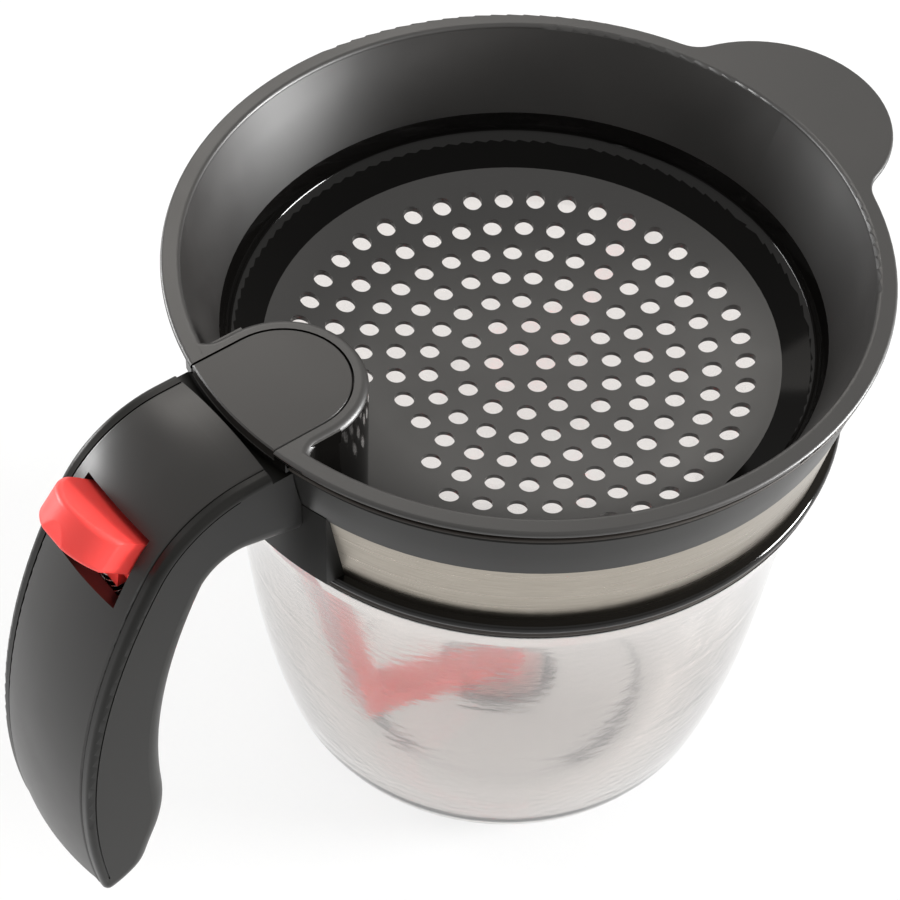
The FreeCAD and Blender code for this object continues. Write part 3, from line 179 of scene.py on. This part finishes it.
# %% [markdown]
# ## Black plastics
# The strainer, cap, handle panel and handle are black plastic from textured moulds. The satin skin scatters
# its reflections widely, which makes it look warm dark grey. The bowl's wall and the hood are polished in the
# mould, so there the same plastic mirrors its surroundings and looks truly black. One builder makes every
# plastic: colour, roughness, grain depth and marks are its values.

# %% Start a material
def start_material(name):
    material = bpy.data.materials.new(name)
    material.use_nodes = True
    tree = material.node_tree
    shader = tree.nodes["Principled BSDF"]
    return material, tree, shader


def place_group(tree, group, **values):
    node = add_node(tree, "ShaderNodeGroup", node_tree=group)
    for name, value in values.items():
        node.inputs[name.replace("_", " ")].default_value = value
    return node


def bump(tree, height, distance, strength):
    node = add_node(tree, "ShaderNodeBump")
    node.inputs["Distance"].default_value = distance
    node.inputs["Strength"].default_value = strength
    link(tree, height, node.inputs["Height"])
    return node.outputs["Normal"]


def mix_colour(tree, factor, first, second):
    """Mix of two plain colours; returns a colour socket."""
    node = add_node(tree, "ShaderNodeMix", data_type="RGBA")
    link(tree, factor, node.inputs["Factor"])
    node.inputs["A"].default_value = (*first, 1.0)
    node.inputs["B"].default_value = (*second, 1.0)
    return node.outputs["Result"]


def plastic(name, colour, shade, roughness, spread, grain, specular=0.5):
    """Moulded plastic: colour drifts to shade, roughness by spread, grain is its bump in mm."""
    material, tree, shader = start_material(name)
    skin = place_group(tree, MOULDED_GRAIN, Grains_per_mm=3.2, Drift=0.8)
    marks = place_group(tree, HANDLING_MARKS, Smear_size=22.0, Hairlines=0.25)
    link(tree, mix_colour(tree, skin.outputs["Mattness"], colour, shade), shader.inputs["Base Color"])
    rough = ramp_between(tree, skin.outputs["Mattness"], 0.0, 1.0, roughness - spread, roughness + spread)
    rough = math_node(tree, "SUBTRACT", rough,
                      math_node(tree, "MULTIPLY", marks.outputs["Marks"], spread * 0.8), clamp=True)
    link(tree, rough, shader.inputs["Roughness"])
    link(tree, bump(tree, skin.outputs["Height"], grain * 0.001, 0.35), shader.inputs["Normal"])
    shader.inputs["Specular IOR Level"].default_value = specular
    return material


SATIN_BLACK, SATIN_SHADE = (0.0085, 0.0075, 0.0068), (0.0115, 0.0102, 0.0092)
satin = plastic("satin_black", SATIN_BLACK, SATIN_SHADE, 0.34, 0.03, 0.02, specular=0.55)
grip = plastic("grip_black", (0.006, 0.0057, 0.005), (0.008, 0.0077, 0.0068), 0.34, 0.03, 0.02, specular=0.27)
gloss = plastic("gloss_black", (0.003, 0.0027, 0.0025), (0.004, 0.0037, 0.0034), 0.10, 0.03, 0.004,
                specular=0.28)
print("plastics:", satin.name, grip.name, gloss.name)

# %% [markdown]
# ## Strainer: satin funnel, polished bowl
# The strainer is one moulding with two skins. The funnel, lip, tab and perforated floor are satin, while the
# bowl's wall and the upright wall of the hood are polished in the mould. The mould itself changes finish at
# the edges of those faces, so the faces are sorted here by height, by distance from the axis and by how
# upright they stand, and each sort takes its own material. The ledge between the floor and the wall is the
# same polished plastic as the wall. On the real object it mirrors a dark part of the room and looks black,
# but the room here is pale overhead, so the ledge's reflection is turned down. That is a stand-in for a
# darker room and not a property of the plastic, and it holds under other light only roughly.

# %% Strainer materials
FLOOR_EDGE, LEDGE_EDGE, BOWL_TOP = 0.0553, 0.0613, 0.1241
HOOD_FRONT, HOOD_SIDE, UPRIGHT = -0.0440, 0.0215, 0.28
strainer_skin = plastic("strainer_black", SATIN_BLACK, SATIN_SHADE, 0.44, 0.03, 0.02, specular=0.9)
ledge_skin = plastic("bowl_ledge", (0.0024, 0.0022, 0.002), (0.0032, 0.0029, 0.0026), 0.08, 0.02, 0.003,
                     specular=0.06)


def strainer_sort(face):
    """Which skin a face of the strainer has: 0 satin, 1 polished, 2 the ledge round the floor."""
    middle, facing = face.center, face.normal
    radius = math.hypot(middle.x, middle.y)
    if middle.z < BOWL_TOP and radius > FLOOR_EDGE:
        return 2 if radius < LEDGE_EDGE else 1
    near_hood = middle.x < HOOD_FRONT and abs(middle.y) < HOOD_SIDE
    return 1 if near_hood and abs(facing.z) < UPRIGHT else 0


print("polished below", BOWL_TOP * 1000, "mm and outside", FLOOR_EDGE * 1000, "mm")

# %% [markdown]
# ## Red parts
# The thumb lever is a soft-touch red that scatters light a little way under its skin. The valve rod inside
# the jar is the same red, moulded harder and glossier.

# %% Red materials
def red_plastic(name, colour, shade, roughness, depth):
    material = plastic(name, colour, shade, roughness, 0.04, 0.02, specular=0.4)
    shader = material.node_tree.nodes["Principled BSDF"]
    shader.inputs["Subsurface Weight"].default_value = 0.25
    shader.inputs["Subsurface Radius"].default_value = (1.0, 0.25, 0.15)
    shader.inputs["Subsurface Scale"].default_value = depth
    return material


thumb_red = red_plastic("thumb_red", (0.93, 0.070, 0.062), (0.87, 0.061, 0.054), 0.42, 0.0015)
rod_red = red_plastic("rod_red", (0.95, 0.085, 0.075), (0.88, 0.075, 0.065), 0.28, 0.0010)
print("reds:", thumb_red.name, rod_red.name)

# %% [markdown]
# ## Brushed steel band
# The band is thin stainless strip, brushed along its length before it was rolled round the collar. The brush
# lines run round the axis, so the texture reads the angle round the jar and the height: slow along the
# strip, very fine across it. Anisotropy with a tangent round the axis draws the highlights out upright.

# %% Band material
def brushed_steel():
    material, tree, shader = start_material("brushed_band")
    place = add_node(tree, "ShaderNodeTexCoord").outputs["Object"]
    split = add_node(tree, "ShaderNodeSeparateXYZ")
    link(tree, place, split.inputs[0])
    angle = math_node(tree, "ARCTAN2", split.outputs["Y"], split.outputs["X"])
    strip = add_node(tree, "ShaderNodeCombineXYZ")
    link(tree, math_node(tree, "MULTIPLY", angle, 0.07), strip.inputs["X"])
    link(tree, math_node(tree, "MULTIPLY", split.outputs["Z"], 40.0), strip.inputs["Z"])
    lines = noise(tree, strip.outputs["Vector"], 120.0, detail=4.0, roughness=0.7)
    streaks = noise(tree, strip.outputs["Vector"], 30.0, detail=2.0)
    tint = ramp_between(tree, lines, 0.3, 0.7)
    link(tree, mix_colour(tree, tint, (0.34, 0.305, 0.255), (0.43, 0.39, 0.335)), shader.inputs["Base Color"])
    link(tree, ramp_between(tree, streaks, 0.3, 0.7, 0.26, 0.36), shader.inputs["Roughness"])
    link(tree, bump(tree, lines, 0.00002, 0.25), shader.inputs["Normal"])
    shader.inputs["Metallic"].default_value = 1.0
    shader.inputs["Anisotropic"].default_value = 0.6
    turn = add_node(tree, "ShaderNodeTangent", direction_type="RADIAL", axis="Z")
    link(tree, turn.outputs["Tangent"], shader.inputs["Tangent"])
    return material


band_steel = brushed_steel()
print("band:", band_steel.name)

# %% [markdown]
# ## Pins, screws and spring
# Small steel parts are plain drawn or turned wire: brighter than the band, with fine irregular lines.

# %% Small steel material
def small_steel():
    material, tree, shader = start_material("bright_steel")
    skin = place_group(tree, MOULDED_GRAIN, Grains_per_mm=5.0, Drift=0.6)
    tint = mix_colour(tree, skin.outputs["Mattness"], (0.55, 0.54, 0.52), (0.66, 0.65, 0.63))
    link(tree, tint, shader.inputs["Base Color"])
    link(tree, ramp_between(tree, skin.outputs["Height"], 0.3, 0.7, 0.18, 0.32), shader.inputs["Roughness"])
    link(tree, bump(tree, skin.outputs["Height"], 0.00001, 0.2), shader.inputs["Normal"])
    shader.inputs["Metallic"].default_value = 1.0
    return material


pin_steel = small_steel()
print("small steel:", pin_steel.name)

# %% [markdown]
# ## Seals
# The seals are soft moulded rubber: matt, slightly dusty, never mirror-like. The drain plug is taken to be
# pale rose silicone, which the same moulded skin describes with a lighter colour.

# %% Rubber material
seal_grey = plastic("seal_grey", (0.026, 0.021, 0.018), (0.036, 0.031, 0.027), 0.55, 0.06, 0.05, specular=0.3)
plug_rose = plastic("plug_rose", (0.74, 0.62, 0.60), (0.68, 0.56, 0.54), 0.45, 0.05, 0.03, specular=0.4)
print("rubbers:", seal_grey.name, plug_rose.name)

# %% [markdown]
# ## Clear jar
# The jar is thick clear plastic, a little hazy from the mould and from washing. A Principled shader with full
# transmission bends the view as the real wall does, and a low roughness gives the haze. The mould's faint
# rings make the outline of the red rod shiver, so the ripple reads the angle round the axis and the height:
# slow round the wall, quick up it, and very shallow. The index of refraction is near that of common clear
# plastics and was chosen for where the bent view puts the red rod.

# %% Jar material
RIPPLES, RIPPLE_ROUND, RIPPLE_DEPTH, RIPPLE_STRENGTH = 700.0, 0.026, 0.00016, 0.17
HAZE_LOW, HAZE_HIGH = 0.08, 0.12
JAR_INDEX = 1.47


def clear_plastic():
    material, tree, shader = start_material("jar_clear")
    place = add_node(tree, "ShaderNodeTexCoord").outputs["Object"]
    split = add_node(tree, "ShaderNodeSeparateXYZ")
    link(tree, place, split.inputs[0])
    angle = math_node(tree, "ARCTAN2", split.outputs["Y"], split.outputs["X"])
    flow = add_node(tree, "ShaderNodeCombineXYZ")
    link(tree, math_node(tree, "MULTIPLY", angle, RIPPLE_ROUND), flow.inputs["X"])
    link(tree, split.outputs["Z"], flow.inputs["Z"])
    ripple = noise(tree, flow.outputs["Vector"], RIPPLES, detail=2.0)
    link(tree, bump(tree, ripple, RIPPLE_DEPTH, RIPPLE_STRENGTH), shader.inputs["Normal"])
    marks = place_group(tree, HANDLING_MARKS, Smear_size=30.0, Hairlines=0.2)
    haze = ramp_between(tree, marks.outputs["Marks"], 0.0, 1.0, HAZE_LOW, HAZE_HIGH)
    link(tree, haze, shader.inputs["Roughness"])
    shader.inputs["Base Color"].default_value = (0.775, 0.745, 0.725, 1.0)
    shader.inputs["Transmission Weight"].default_value = 1.0
    shader.inputs["IOR"].default_value = JAR_INDEX
    shader.inputs["Coat Weight"].default_value = 0.5
    shader.inputs["Coat Roughness"].default_value = 0.04
    return material


jar_clear = clear_plastic()
print("jar:", jar_clear.name)

# %% [markdown]
# ## Dress the solids
# Each solid takes the finish of the real piece. The table below says which, by piece name.

# %% Give every piece its finish
FINISHES = {
    satin: ["hub_cover", "handle_spine"],
    grip: ["handle_body", "collar"],
    gloss: ["collar_base_ring", "rod_guide"],
    thumb_red: ["lever"],
    rod_red: ["valve_rod"],
    band_steel: ["collar_band"],
    pin_steel: ["guide_screws", "handle_screws", "lever_pin", "lever_spring", "lever_washers",
                "plug_washer", "rod_pin"],
    seal_grey: ["collar_seal", "strainer_seal"],
    plug_rose: ["valve_plug"],
    jar_clear: ["jar", "drain_seat"],
}
for finish, names in FINISHES.items():
    for name in names:
        piece = nodes[name]
        piece.data.materials.clear()
        piece.data.materials.append(finish)
strainer = nodes["strainer"].data
strainer.materials.clear()
for skin in (strainer_skin, gloss, ledge_skin):
    strainer.materials.append(skin)
for face in strainer.polygons:
    face.material_index = strainer_sort(face)
dressed = 1 + sum(len(names) for names in FINISHES.values())
print("pieces dressed:", dressed, "of", len(nodes))

# %% [markdown]
# ## White table
# The object stands on a white table that runs out of the picture. Part of its white is its own light, seen
# only by the camera, by mirrors and through glass, and the rest is paint that takes a soft shadow.

# %% Table
TABLE_HALF, TABLE_DROP = 4.0, 0.0002
OWN_LIGHT = 0.80


def white_table():
    mesh = bpy.data.meshes.new("table")
    corners = [(-TABLE_HALF, -TABLE_HALF, 0), (TABLE_HALF, -TABLE_HALF, 0), (TABLE_HALF, TABLE_HALF, 0),
               (-TABLE_HALF, TABLE_HALF, 0)]
    mesh.from_pydata(corners, [], [(0, 1, 2, 3)])
    table = bpy.data.objects.new("table", mesh)
    bpy.context.scene.collection.objects.link(table)
    table.location.z = -TABLE_DROP
    material, tree, shader = start_material("table_white")
    shader.inputs["Base Color"].default_value = (0.85, 0.85, 0.85, 1.0)
    shader.inputs["Roughness"].default_value = 1.0
    shader.inputs["Specular IOR Level"].default_value = 0.0
    path = add_node(tree, "ShaderNodeLightPath")
    seen = math_node(tree, "MAXIMUM", path.outputs["Is Camera Ray"], path.outputs["Is Glossy Ray"])
    seen = math_node(tree, "MAXIMUM", seen, path.outputs["Is Transmission Ray"])
    glow = add_node(tree, "ShaderNodeEmission")
    glow.inputs["Color"].default_value = (1.0, 1.0, 1.0, 1.0)
    blend = add_node(tree, "ShaderNodeMixShader")
    link(tree, math_node(tree, "MULTIPLY", seen, OWN_LIGHT), blend.inputs["Fac"])
    link(tree, shader.outputs["BSDF"], blend.inputs[1])
    link(tree, glow.outputs["Emission"], blend.inputs[2])
    link(tree, blend.outputs["Shader"], tree.nodes["Material Output"].inputs["Surface"])
    mesh.materials.append(material)


white_table()
print("table half width in m:", TABLE_HALF)

# %% [markdown]
# ## Studio light
# Two softboxes stand low at the right and at the left of the object, and a faint warm screen hangs behind it.
# The low boxes graze the table's level, so they draw the gradients inside the funnel without flooding what
# faces up. The room is a pale tent, lighter overhead, which lays the grey sheen on the satin black.

# %% World
ROOM_LOW, ROOM_HIGH, ROOM_FADE_TOP = 0.50, 0.82, 0.55


def pale_room():
    world = bpy.data.worlds.new("room")
    bpy.context.scene.world = world
    world.use_nodes = True
    tree = world.node_tree
    tree.nodes.clear()
    leave = add_node(tree, "ShaderNodeOutputWorld")
    back = add_node(tree, "ShaderNodeBackground")
    link(tree, back.outputs["Background"], leave.inputs["Surface"])
    aim = add_node(tree, "ShaderNodeTexCoord").outputs["Generated"]
    split = add_node(tree, "ShaderNodeSeparateXYZ")
    link(tree, aim, split.inputs[0])
    fade = ramp_between(tree, split.outputs["Z"], 0.0, ROOM_FADE_TOP, ROOM_LOW, ROOM_HIGH)
    path = add_node(tree, "ShaderNodeLightPath")
    level = add_node(tree, "ShaderNodeMix", data_type="FLOAT")
    link(tree, path.outputs["Is Camera Ray"], level.inputs["Factor"])
    link(tree, fade, level.inputs["A"])
    level.inputs["B"].default_value = 1.0
    link(tree, level.outputs["Result"], back.inputs["Strength"])
    back.inputs["Color"].default_value = (1.0, 0.985, 0.96, 1.0)


pale_room()
print("room strength, level to overhead:", ROOM_LOW, ROOM_HIGH)


# %% Softboxes
LAMP_AIM = Vector((0.0, 0.0, 0.10))


def softbox(name, heading, rise, distance, width, height, power, colour=(1.0, 1.0, 1.0)):
    """A rectangular lamp that looks at the object from a heading and a rise in degrees."""
    level, turn = math.radians(rise), math.radians(heading)
    away = Vector((math.cos(level) * math.cos(turn), math.cos(level) * math.sin(turn), math.sin(level)))
    data = bpy.data.lights.new(name, "AREA")
    data.shape = "RECTANGLE"
    data.size, data.size_y = width, height
    data.energy = power
    data.color = colour
    lamp = bpy.data.objects.new(name, data)
    lamp.location = LAMP_AIM + away * distance
    lamp.rotation_euler = away.to_track_quat("Z", "Y").to_euler()
    bpy.context.scene.collection.objects.link(lamp)
    print(name, "heading", heading, "rise", rise, "W", power)


softbox("box_right", -42.0, 11.0, 1.0, 0.35, 0.20, 22.0)
softbox("box_left", 118.0, 10.0, 1.0, 0.45, 0.20, 7.0)
softbox("screen_back", 66.0, 40.0, 1.2, 0.6, 0.45, 2.2, (1.0, 0.96, 0.91))
